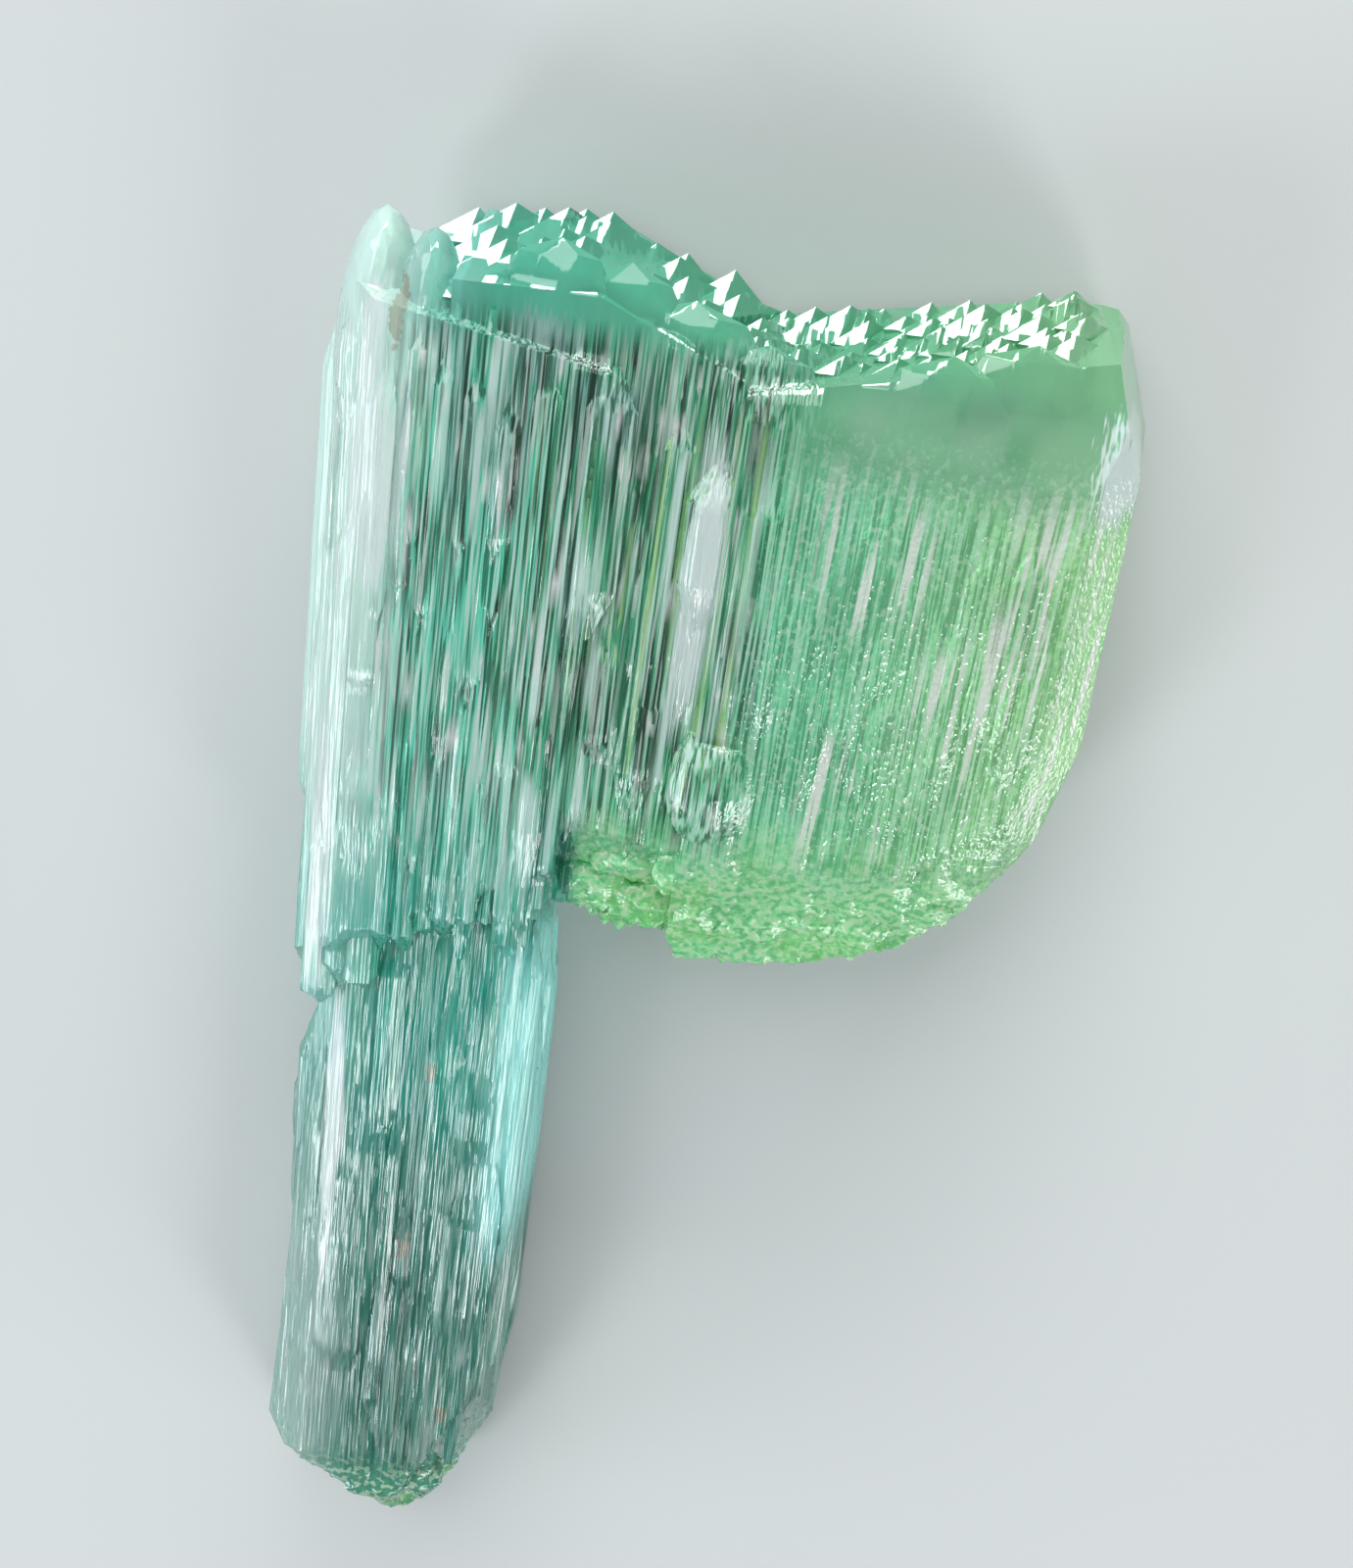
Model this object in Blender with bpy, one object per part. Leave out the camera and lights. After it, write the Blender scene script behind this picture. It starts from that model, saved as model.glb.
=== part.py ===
"""Green spodumene crystal, one solid: a long striated bar with a broad blade grown from its upper half.

The crystal lies on its back. +Y is its long (c) axis, towards the peaked end, +X is the blade's side,
and +Z is the front face. The back rests on Z = 0, and the origin is under the middle of its box.
"""

import math
import random

import bmesh
import bpy
from mathutils import Matrix, Vector

MM = 0.001

NAME = "kunzite_crystal"
SEED = 41

# Driving dimensions of the whole crystal, which is 42 mm wide
LENGTH = 86.6 * MM
HALF_LENGTH = LENGTH / 2

# Where the three grown-together bodies meet across the width
BAR_RIGHT = -6.0 * MM
SHOULDER_RIGHT = 4.0 * MM
BLADE_LEFT = 0.4 * MM

# Heights of the front faces, and of the low back face that the resting ridges stand on
SHAFT_FRONT = 9.6 * MM
BAR_FRONT = 11.4 * MM
SHOULDER_FRONT = 10.5 * MM
BLADE_FRONT = 11.6 * MM
LOW_BACK = 0.5 * MM

# Heights along the crystal
NOTCH_Y = 6.2 * MM
BLADE_FOOT_Y = 4.4 * MM
LEDGE_Y = -1.0 * MM
FOOT_SLOPE_Y = 12.4 * MM

# The peaked end's profile along its back edge and its front edge, in mm as (x, y), left to right
CROWN_BACK_Z = 2.0
CROWN_FRONT_Z = 12.0
CROWN_BACK = (
    (-16.5, 41.0), (-12.6, 42.8), (-7.4, 43.2), (-4.6, 41.9), (-1.7, 41.4),
    (1.4, 39.6), (4.9, 40.4), (10.0, 41.2), (17.0, 42.8),
)
CROWN_FRONT = (
    (-16.5, 41.4), (-9.4, 41.2), (-5.6, 39.9), (-0.9, 39.2), (1.8, 38.9),
    (5.6, 38.6), (9.1, 39.4), (12.5, 40.8), (17.0, 42.3),
)
# How far the bodies' own ends stay below the peaks that grow on them
CROWN_DEPTH = 0.85
# Widths of the coarse and the fine peaks, how they vary, and where the two kinds meet, in mm
COARSE_PEAK = 2.5
FINE_PEAK = 1.35
PEAK_VARIETY = (0.7, 0.85, 1.0, 1.2, 1.6)
COARSE_UP_TO_X = -4.0
FINE_FROM_X = 5.0
# Rows of peaks from back to front and from left to right, and the slant of their ridges, in mm
CROWN_FIRST_Z = 1.9
CROWN_LAST_Z = 9.8
CROWN_RIM_Z = 10.2
CROWN_ROW = 1.4
CROWN_LEFT = -14.6
CROWN_RIGHT = 17.2
LAST_PEAK_X = 16.0
RIDGE_SLANT = 0.7
# A peak's height for each mm of its width
PEAK_HEIGHT = 0.72

# Cut corners closer together than this are one corner
WELD = 0.02 * MM

GREEN = (0.26, 0.55, 0.36, 1.0)


def clear_scene():
    for obj in list(bpy.data.objects):
        bpy.data.objects.remove(obj)


def make_collection(name):
    collection = bpy.data.collections.new(name)
    bpy.context.scene.collection.children.link(collection)
    return collection


def crystal_material():
    material = bpy.data.materials.new("green_spodumene")
    material.use_nodes = True
    shader = material.node_tree.nodes["Principled BSDF"]
    shader.inputs["Base Color"].default_value = GREEN
    shader.inputs["Metallic"].default_value = 0.0
    shader.inputs["Roughness"].default_value = 0.12
    shader.inputs["IOR"].default_value = 1.66
    shader.inputs["Transmission Weight"].default_value = 0.8
    material.diffuse_color = GREEN
    return material


def object_from(bm, name, collection):
    mesh = bpy.data.meshes.new(name)
    bmesh.ops.recalc_face_normals(bm, faces=bm.faces)
    bm.to_mesh(mesh)
    bm.free()
    obj = bpy.data.objects.new(name, mesh)
    collection.objects.link(obj)
    return obj


def box_mesh(low, high):
    """A closed box between two corners, the rough block that faces are then cut on."""
    low, high = Vector(low), Vector(high)
    size = high - low
    place = Matrix.Translation((low + high) / 2) @ Matrix.Diagonal((*size, 1.0))
    bm = bmesh.new()
    bmesh.ops.create_cube(bm, size=1.0, matrix=place)
    return bm


def cleave(bm, point, normal):
    """Cuts off all that lies beyond a plane and closes the cut with one flat crystal face."""
    everything = bm.verts[:] + bm.edges[:] + bm.faces[:]
    outward = Vector(normal).normalized()
    bmesh.ops.bisect_plane(
        bm, geom=everything, plane_co=point, plane_no=outward, clear_outer=True, dist=1e-7
    )
    bmesh.ops.remove_doubles(bm, verts=bm.verts, dist=WELD)
    rim = [edge for edge in bm.edges if edge.is_boundary]
    bmesh.ops.holes_fill(bm, edges=rim)


def height_on(profile, x):
    """Reads a profile of (x, y) points at x, straight between its points and level past its ends."""
    if x <= profile[0][0]:
        return profile[0][1]
    for (x0, y0), (x1, y1) in zip(profile, profile[1:]):
        if x <= x1:
            return y0 + (y1 - y0) * (x - x0) / (x1 - x0)
    return profile[-1][1]


def crown_height(x, z):
    """Y of the peaks at a place on the crystal's end, in mm."""
    share = (z - CROWN_BACK_Z) / (CROWN_FRONT_Z - CROWN_BACK_Z)
    return height_on(CROWN_BACK, x) * (1 - share) + height_on(CROWN_FRONT, x) * share


def cleave_end(bm, x_left, x_right):
    """Cuts a body's end with one slanting face, a little below the peaks from x_left to x_right."""
    x_middle = (x_left + x_right) / 2
    corners = [
        Vector((x, crown_height(x, z) - CROWN_DEPTH, z)) * MM
        for x, z in ((x_left, CROWN_BACK_Z), (x_right, CROWN_BACK_Z), (x_middle, CROWN_FRONT_Z))
    ]
    cleave(bm, corners[0], -(corners[1] - corners[0]).cross(corners[2] - corners[0]))


def rim_faces(bm, x, y, direction, front, chance, front_bevel, back_bevel):
    """Cuts one side of a body as three faces: a broad front bevel, a steep side and a back bevel."""
    flat = Vector((math.cos(direction), math.sin(direction), 0.0))
    edge = Vector((x, y, 0.0))
    side = math.radians(chance.uniform(5, 12))
    cleave(bm, edge + Vector((0, 0, 5 * MM)), flat * math.cos(side) + Vector((0, 0, math.sin(side))))
    tilt = math.radians(chance.uniform(44, 54))
    top = edge - flat * front_bevel + Vector((0, 0, front))
    cleave(bm, top, flat * math.cos(tilt) + Vector((0, 0, math.sin(tilt))))
    tilt = math.radians(chance.uniform(-48, -38))
    foot = edge - flat * back_bevel + Vector((0, 0, LOW_BACK))
    cleave(bm, foot, flat * math.cos(tilt) + Vector((0, 0, math.sin(tilt))))


def make_bar(collection):
    """The long left bar. Its lower half is the free shaft, and its foot is broken off."""
    bm = box_mesh((-22 * MM, -HALF_LENGTH, LOW_BACK), (BAR_RIGHT, 45 * MM, SHAFT_FRONT))
    left = Vector((-19.0 * MM, LEDGE_Y, 4 * MM))
    cleave(bm, left, (-1.0, 0.045, 0.12))
    cleave(bm, left + Vector((2.9 * MM, 0, SHAFT_FRONT - 4 * MM)), (-0.70, 0.03, 0.71))
    cleave(bm, left + Vector((0.9 * MM, 0, LOW_BACK - 4 * MM)), (-0.70, 0.03, -0.71))
    cleave(bm, (BAR_RIGHT, 0, 4.6 * MM), (1.0, 0.008, 0.22))
    cleave(bm, (BAR_RIGHT - 1.5 * MM, 0, SHAFT_FRONT), (0.74, 0.0, 0.67))
    cleave(bm, (BAR_RIGHT - 1.4 * MM, 0, LOW_BACK), (0.72, 0.0, -0.69))
    cleave_end(bm, -16.5, -9.0)
    cleave_end(bm, -9.0, -4.6)
    cleave(bm, (-19.8 * MM, 38.5 * MM, 5 * MM), (-0.91, 0.41, 0.05))
    # The broken foot is a wedge: round its front from right to left, then the sides and the back
    foot = (
        ((-7.4, -35.4, 5.0), (0.74, -0.35, 0.57)),
        ((-9.0, -39.6, 5.0), (0.46, -0.58, 0.67)),
        ((-12.0, -42.6, 5.0), (0.08, -0.68, 0.73)),
        ((-15.8, -40.0, 5.0), (-0.34, -0.62, 0.70)),
        ((-19.2, -36.6, 5.0), (-0.80, -0.45, 0.40)),
        ((-7.4, -36.0, 4.0), (0.93, -0.36, 0.0)),
        ((-11.4, -42.6, 4.0), (0.35, -0.93, -0.12)),
        ((-13.0, -40.4, 0.5), (-0.1, -0.55, -0.83)),
    )
    for (x, y, z), normal in foot:
        cleave(bm, (x * MM, y * MM, z * MM), normal)
    return object_from(bm, "bar", collection)


def make_overgrowth(collection):
    """The later layer on the bar's upper half. It ends in a ramp above the shaft, and in a chisel on top."""
    bm = box_mesh((-22 * MM, -4 * MM, 3 * MM), (BAR_RIGHT, 45 * MM, BAR_FRONT))
    cleave(bm, (-20.2 * MM, 10 * MM, 5 * MM), (-1.0, 0.012, 0.10))
    cleave(bm, (-17.4 * MM, 10 * MM, BAR_FRONT), (-0.76, 0.0, 0.65))
    cleave(bm, (-20.2 * MM, 10 * MM, 4.6 * MM), (-0.75, 0.0, -0.66))
    cleave(bm, (-20.0 * MM, 37.0 * MM, 6 * MM), (-0.93, 0.37, 0.10))
    cleave(bm, (-18.9 * MM, 41.3 * MM, 8 * MM), (-0.55, 0.83, 0.10))
    cleave(bm, (-18.0 * MM, 41.9 * MM, 8 * MM), (0.10, 0.99, 0.12))
    cleave(bm, (-15.6 * MM, 41.4 * MM, 8 * MM), (0.34, 0.93, 0.14))
    cleave(bm, (-10.6 * MM, 38.6 * MM, 9 * MM), (0.16, 0.96, 0.22))
    cleave(bm, (-18.0 * MM, LEDGE_Y, 5 * MM), (-0.10, -0.76, 0.64))
    cleave(bm, (-9.0 * MM, 8.0 * MM, 10.4 * MM), (0.34, -0.62, 0.70))
    return object_from(bm, "overgrowth", collection)


def make_shoulder(collection):
    """The middle body between bar and blade. Its front lies lower, as a shallow valley."""
    bm = box_mesh((-14 * MM, NOTCH_Y, LOW_BACK), (SHOULDER_RIGHT, 46 * MM, SHOULDER_FRONT))
    cleave_end(bm, -12.6, -7.0)
    cleave_end(bm, -7.0, 1.4)
    cleave(bm, (0, NOTCH_Y, 6.2 * MM), (0.0, -0.84, 0.54))
    cleave(bm, (0, FOOT_SLOPE_Y, SHOULDER_FRONT), (-0.08, -0.44, 0.89))
    cleave(bm, (0, NOTCH_Y, 2.4 * MM), (0.0, -0.70, -0.71))
    return object_from(bm, "shoulder", collection)


def make_blade(collection, chance):
    """The broad right body, cut round its free side by one run of faces for each stretch of its outline."""
    bm = box_mesh((BLADE_LEFT, 2 * MM, LOW_BACK), (22 * MM, 46 * MM, BLADE_FRONT))
    cleave_end(bm, 4.9, 17.0)
    cleave(bm, (10 * MM, 35.4 * MM, BLADE_FRONT), (0.02, 0.30, 0.95))
    cleave(bm, (5 * MM, FOOT_SLOPE_Y + 0.6 * MM, BLADE_FRONT), (0.04, -0.36, 0.93))
    cleave(bm, (13 * MM, FOOT_SLOPE_Y + 2.4 * MM, BLADE_FRONT), (0.22, -0.30, 0.93))
    # Points on the outline with the way each face looks, in degrees from +X, and its two bevels
    sides = (
        (17.4, 42.4, 48, 1.4, 1.2),
        (19.5, 38.6, 22, 2.2, 1.4),
        (20.6, 28.0, 1, 3.0, 1.6),
        (19.9, 17.6, -12, 3.0, 1.6),
        (18.0, 12.9, -32, 3.0, 1.7),
        (14.7, 9.2, -48, 3.2, 1.8),
        (11.2, 6.6, -68, 3.4, 2.0),
        (5.6, 4.9, -84, 3.6, 2.2),
    )
    for x, y, degrees, front_bevel, back_bevel in sides:
        rim_faces(
            bm,
            x * MM,
            y * MM,
            math.radians(degrees),
            BLADE_FRONT,
            chance,
            front_bevel * MM,
            back_bevel * MM,
        )
    cleave(bm, (1.1 * MM, BLADE_FOOT_Y, 5 * MM), (-0.93, -0.36, 0.05))
    return object_from(bm, "blade", collection)


def lath(place, width, depth, y_low, y_high, taper, turn, collection):
    """A long six-sided growth ridge along the c axis. Each end narrows and sinks over its own taper."""
    x, z = place
    length = y_high - y_low
    along_y = Matrix.Rotation(math.radians(-90), 4, "X")
    bm = bmesh.new()
    bmesh.ops.create_cone(
        bm, cap_ends=True, segments=6, radius1=0.5, radius2=0.5, depth=length, matrix=along_y
    )
    caps = [face for face in bm.faces if len(face.verts) == 6]
    for face in caps:
        sign = 1 if face.calc_center_median().y > 0 else -1
        reach = taper[1] if sign > 0 else taper[0]
        for vertex in face.verts:
            vertex.co.y -= sign * reach
        grown = bmesh.ops.extrude_discrete_faces(bm, faces=[face])["faces"][0]
        for vertex in grown.verts:
            vertex.co.x *= 0.15
            vertex.co.z = vertex.co.z * 0.15 - 0.36
            vertex.co.y += sign * reach
    bmesh.ops.transform(bm, matrix=Matrix.Diagonal((width, 1.0, depth, 1.0)), verts=bm.verts)
    bmesh.ops.transform(bm, matrix=Matrix.Rotation(turn, 4, "Y"), verts=bm.verts)
    bmesh.ops.translate(bm, vec=(x, (y_low + y_high) / 2, z), verts=bm.verts)
    return object_from(bm, "lath", collection)


def tapers(chance, length):
    """One ridge's two end tapers: mostly long and fine, a few as short as a step."""
    return [
        min(length * 0.45, chance.choice((2.5, 4.0, 6.5, 9.0, 12.0)) * MM * chance.uniform(0.8, 1.2))
        for _ in range(2)
    ]


def ridges_on(collection, chance, face):
    """Scatters laths over a face from left to right, their crests a little above it."""
    x_low, x_high = face["x"]
    y_low, y_high = face["y"]
    for index in range(face["count"]):
        x = x_low + (x_high - x_low) * (index + chance.uniform(0.0, 1.0)) / face["count"]
        width = chance.uniform(*face["width"])
        rise = chance.uniform(*face["rise"])
        depth = max(width * chance.uniform(*face["flatness"]), 2 * rise + 0.3)
        length = min(chance.uniform(*face["length"]), y_high - y_low)
        middle = chance.uniform(y_low + length / 2, y_high - length / 2)
        crest = face["front"] + rise
        lath(
            (x * MM, crest * MM - depth * MM * 0.43),
            width * MM,
            depth * MM,
            (middle - length / 2) * MM,
            (middle + length / 2) * MM,
            tapers(chance, length * MM),
            math.radians(chance.uniform(*face["turn"])),
            collection,
        )


def front_ridges(collection, chance):
    """The coarse striation of the front, in mm: each face of it at its own height, with its own grain."""
    upper_bar = {
        "x": (-17.2, -5.8), "y": (4.0, 40.0), "front": 11.4, "rise": (0.03, 0.45), "count": 24,
        "width": (1.0, 3.6), "flatness": (0.16, 0.38), "length": (12, 34), "turn": (-16, 10),
    }
    valley = {
        "x": (-8.2, 0.6), "y": (11.5, 36.0), "front": 10.5, "rise": (0.0, 0.55), "count": 22,
        "width": (0.9, 2.6), "flatness": (0.2, 0.45), "length": (8, 25), "turn": (-20, 20),
    }
    blade = {
        "x": (1.8, 13.5), "y": (13.0, 34.5), "front": 11.6, "rise": (0.03, 0.26), "count": 18,
        "width": (1.4, 4.2), "flatness": (0.1, 0.24), "length": (8, 22), "turn": (-8, 8),
    }
    blade_side = {
        "x": (12.5, 17.2), "y": (16.5, 34.5), "front": 11.6, "rise": (0.03, 0.3), "count": 11,
        "width": (1.0, 3.2), "flatness": (0.14, 0.3), "length": (7, 18), "turn": (-4, 14),
    }
    shaft = {
        "x": (-16.4, -7.8), "y": (-35.5, 8.0), "front": 9.6, "rise": (0.03, 0.4), "count": 22,
        "width": (1.0, 3.4), "flatness": (0.16, 0.38), "length": (12, 36), "turn": (-13, 13),
    }
    for face in (upper_bar, valley, blade, blade_side, shaft):
        ridges_on(collection, chance, face)


def side_ridges(collection, chance):
    """Ridges along the left bevel of the upper bar and of the shaft, and down the shaft's right side."""
    for index in range(9):
        step = (index % 5) / 4
        upper = index < 5
        y_low = chance.uniform(-1.0, 10.0) if upper else chance.uniform(-35.0, -20.0)
        y_high = chance.uniform(28.0, 39.0) if upper else chance.uniform(-8.0, -1.0)
        outward = 0.0 if upper else 1.0
        lath(
            ((-19.9 + 1.9 * step + 0.3 * outward) * MM, (6.4 + 3.9 * step - 1.5 * outward) * MM),
            chance.uniform(1.8, 3.0) * MM,
            chance.uniform(0.9, 1.3) * MM,
            y_low * MM,
            y_high * MM,
            tapers(chance, 20 * MM),
            math.radians(-56 + chance.uniform(-10, 10)),
            collection,
        )
    for index in range(5):
        lath(
            ((-6.5 + 0.12 * index) * MM, (8.4 - 1.5 * index) * MM),
            1.9 * MM,
            1.0 * MM,
            chance.uniform(-34, -18) * MM,
            chance.uniform(2, 7) * MM,
            tapers(chance, 20 * MM),
            math.radians(64 + chance.uniform(-8, 8)),
            collection,
        )


def end_ridges(collection, chance):
    """Ridges that run out past the overgrowth: over the shaft below it, and up its chisel above."""
    for index in range(11):
        x = -18.2 + 1.12 * index
        y_low = LEDGE_Y / MM + 3.0 + 0.45 * index + chance.uniform(-1.6, 1.2) + 0.9 * min(0, index - 3)
        lath(
            (x * MM, BAR_FRONT - chance.uniform(0.7, 1.1) * MM - 0.25 * max(0, 3 - index) * MM),
            chance.uniform(1.3, 2.3) * MM,
            2.2 * MM,
            y_low * MM,
            (y_low + chance.uniform(14, 26)) * MM,
            (chance.uniform(0.8, 2.4) * MM, chance.uniform(4, 9) * MM),
            math.radians(chance.uniform(-20, 20)),
            collection,
        )
    for x, y_high, z in (
        (-18.7, 40.4, 8.6), (-17.6, 41.4, 9.4), (-16.4, 40.9, 10.1), (-15.2, 40.7, 10.6),
        (-13.8, 40.3, 10.8), (-12.2, 40.2, 10.8), (-10.6, 39.4, 10.9),
    ):
        lath(
            (x * MM, z * MM),
            chance.uniform(1.5, 2.1) * MM,
            2.3 * MM,
            chance.uniform(16, 26) * MM,
            y_high * MM,
            (chance.uniform(4, 8) * MM, chance.uniform(3.0, 6.0) * MM),
            math.radians(chance.uniform(-35, -5)),
            collection,
        )


def long_facet(collection):
    """The tall pale facet at the seam of valley and blade, pointed at its lower end."""
    lath(
        (-0.4 * MM, 10.3 * MM),
        3.0 * MM,
        3.0 * MM,
        19.6 * MM,
        35.6 * MM,
        (8.0 * MM, 4.0 * MM),
        math.radians(-22),
        collection,
    )


def back_ridges(collection, chance):
    """Broad low ridges on the back. The bench cuts their crests flat, and the crystal rests on them."""
    for x, width, y_low, y_high in (
        (-13.0, 7.6, -38.0, 36.0),
        (-8.2, 3.0, -6.0, 30.0),
        (-3.6, 4.4, 9.0, 38.0),
        (2.2, 3.4, 7.0, 30.0),
        (7.4, 5.2, 8.0, 37.0),
        (12.2, 3.4, 12.0, 38.0),
        (15.6, 3.2, 14.0, 34.0),
    ):
        lath(
            (x * MM, 0.75 * MM),
            width * MM,
            width * MM * 0.42,
            y_low * MM,
            y_high * MM,
            tapers(chance, 20 * MM),
            math.radians(180 + chance.uniform(-3, 3)),
            collection,
        )


def hillock(point, size, length, chance, collection):
    """One peak with its point given in mm: an upright facet in front, and a long ridge back to the right.

    Size is the width of its front facet in mm, and length how far its ridge runs back. A root under its base
    joins it to the body. All peaks look the same way, so that their front facets glint as one.
    """
    height = PEAK_HEIGHT * size
    root_depth = 3.0
    bm = bmesh.new()
    bmesh.ops.create_cone(bm, cap_ends=True, segments=4, radius1=math.sqrt(0.5), radius2=0.0, depth=1.0)
    base = [face for face in bm.faces if len(face.verts) == 4]
    root = bmesh.ops.poke(bm, faces=base)["verts"][0]
    bmesh.ops.rotate(bm, matrix=Matrix.Rotation(math.radians(45), 3, "Z"), verts=bm.verts)
    bmesh.ops.rotate(bm, matrix=Matrix.Rotation(math.radians(-90), 3, "X"), verts=bm.verts)
    lean = chance.uniform(-0.06, 0.06)
    for vertex in bm.verts:
        forward = height if vertex.co.z > 0.25 else -length if vertex.co.z < -0.25 else 0.0
        vertex.co = (size * vertex.co.x - RIDGE_SLANT * forward, height * (vertex.co.y - 0.5), forward)
        vertex.co.x += (0.22 + lean) * vertex.co.y
    root.co = (0.0, -height - root_depth, -length / 4)
    bmesh.ops.translate(bm, vec=point, verts=bm.verts)
    bmesh.ops.scale(bm, vec=(MM, MM, MM), verts=bm.verts)
    return object_from(bm, "hillock", collection)


def crown(collection, chance):
    """Peaks over the whole end, from back to front. Towards the front the rows grow shorter at both ends."""
    z = CROWN_FIRST_Z
    while z < CROWN_LAST_Z:
        x = CROWN_LEFT + chance.uniform(0.0, 1.0) + max(0.0, z - 4.5) * 0.8
        while x < CROWN_RIGHT - max(0.0, z - 7.0) * 0.9:
            fine = min(1.0, max(0.0, (x - COARSE_UP_TO_X) / (FINE_FROM_X - COARSE_UP_TO_X)))
            size = (COARSE_PEAK + (FINE_PEAK - COARSE_PEAK) * fine) * chance.choice(PEAK_VARIETY)
            peak_x = min(x, LAST_PEAK_X)
            peak_z = min(z + chance.uniform(-0.5, 0.5), CROWN_RIM_Z - PEAK_HEIGHT * size)
            top = crown_height(peak_x, peak_z) + chance.uniform(-0.35, 0.3) * size / COARSE_PEAK
            hillock((peak_x, top, peak_z), size, min(1.7 * size, peak_z - 0.4), chance, collection)
            x += size * chance.uniform(0.75, 1.15)
        z += CROWN_ROW
    for x, z in ((-12.2, 3.4), (-9.6, 3.4), (-7.4, 4.4), (4.9, 3.6), (11.4, 4.2)):
        hillock((x, crown_height(x, z) + 0.55, z), 2.7, z - 0.6, chance, collection)


def lump(point, size, fineness, collection):
    """One rounded lump, given by its middle and its half sizes in mm."""
    bm = bmesh.new()
    place = Matrix.Translation(Vector(point) * MM) @ Matrix.Diagonal((*size, 1.0))
    bmesh.ops.create_icosphere(bm, subdivisions=fineness, radius=1.0 * MM, matrix=place)
    return object_from(bm, "lump", collection)


def chisel_top(collection):
    """The two rounded heads of the chisel at the crystal's top left corner, as long smooth swellings."""
    for point, size in (
        ((-17.8, 35.9, 7.5), (2.1, 7.0, 3.3)),
        ((-15.3, 35.9, 8.2), (1.9, 6.4, 2.9)),
    ):
        lump(point, size, 3, collection)


def front_swells(collection, chance):
    """Broad smooth swellings along the front, between the peaks and the striated part."""
    for x, y, z in (
        (-9.2, 38.6, 9.5), (-5.8, 37.4, 9.3), (-2.6, 36.4, 9.4), (1.2, 34.8, 9.8),
        (5.4, 35.0, 10.4), (9.8, 35.9, 10.2), (13.6, 36.9, 9.8),
    ):
        size = [chance.uniform(low, high) for low, high in ((3.2, 4.6), (3.4, 5.0), (1.0, 1.2))]
        lump((x, y + chance.uniform(-0.5, 0.5), z), size, 2, collection)


def tooth(x, y, z, size, chance, collection):
    """One small etched point of the rough lower rim, looking down the crystal."""
    bm = bmesh.new()
    bmesh.ops.create_cone(bm, cap_ends=True, segments=5, radius1=size, radius2=size * 0.2, depth=size * 1.7)
    bmesh.ops.rotate(bm, matrix=Matrix.Rotation(math.radians(90), 3, "X"), verts=bm.verts)
    bmesh.ops.rotate(bm, matrix=Matrix.Rotation(chance.uniform(-0.25, 0.25), 3, "Z"), verts=bm.verts)
    bmesh.ops.translate(bm, vec=(x, y, z), verts=bm.verts)
    return object_from(bm, "tooth", collection)


def lower_rim(collection, chance):
    """Small points along the notch's ceiling and the blade's lower edge: two rows, the front one set back."""
    stretches = (
        (-5.0, 6.0, 0.2, 5.9, 7, 0.5),
        (1.8, 4.8, 11.0, 6.3, 11, 0.1),
        (11.8, 6.9, 15.4, 10.0, 5, 0.1),
    )
    for x0, y0, x1, y1, count, step in stretches:
        for index in range(count):
            share = (index + 0.5) / count
            for z, back in ((4.6, 0.0), (7.0, step)):
                tooth(
                    (x0 + (x1 - x0) * share + chance.uniform(-0.2, 0.2)) * MM,
                    (y0 + (y1 - y0) * share + back) * MM,
                    (z + chance.uniform(-0.8, 0.8)) * MM,
                    chance.uniform(0.5, 0.85) * MM,
                    chance,
                    collection,
                )


def etched_foot(collection, chance):
    """Low lumps over the slope at the foot of valley and blade, and over the shaft's broken foot."""
    for index in range(14):
        x = -3.8 + 1.45 * index
        y = NOTCH_Y / MM + 2.6 + 0.03 * max(0.0, x - 5.0) ** 2 + 2.4 * (index % 2)
        z = 9.1 + 0.5 * (index % 2) + (0.6 if x > 0 else -0.2)
        size = [chance.uniform(low, high) for low, high in ((1.6, 2.6), (1.0, 1.9), (0.8, 1.1))]
        lump((x, y + chance.uniform(-0.5, 0.7), z), size, 1, collection)
    for x, y, z in (
        (-10.2, -35.6, 8.0), (-13.0, -36.6, 7.8), (-16.0, -34.4, 7.6),
        (-11.6, -38.6, 5.6), (-14.8, -38.2, 5.2),
    ):
        size = [chance.uniform(low, high) for low, high in ((1.6, 2.4), (1.5, 2.2), (1.3, 1.8))]
        lump((x, y, z), size, 1, collection)


def knob(collection):
    """The smooth swelling with a flat step on its upper side, low on the seam of valley and blade."""
    middle = Vector((1.7, 16.8, 10.6)) * MM
    bm = bmesh.new()
    place = Matrix.Translation(middle) @ Matrix.Diagonal((2.6, 3.8, 2.0, 1.0))
    bmesh.ops.create_icosphere(bm, subdivisions=2, radius=1.0 * MM, matrix=place)
    cleave(bm, middle + Vector((0, 2.6 * MM, 1.0 * MM)), (0.05, 0.97, 0.25))
    return object_from(bm, "knob", collection)


def bench(collection):
    """The flat level that the back's ridges are cut to, so that the crystal lies firm."""
    bm = box_mesh((-40 * MM, -60 * MM, -20 * MM), (40 * MM, 60 * MM, 0))
    obj = object_from(bm, "bench", collection)
    obj.display_type = "WIRE"
    obj.hide_render = True
    return obj


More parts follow.
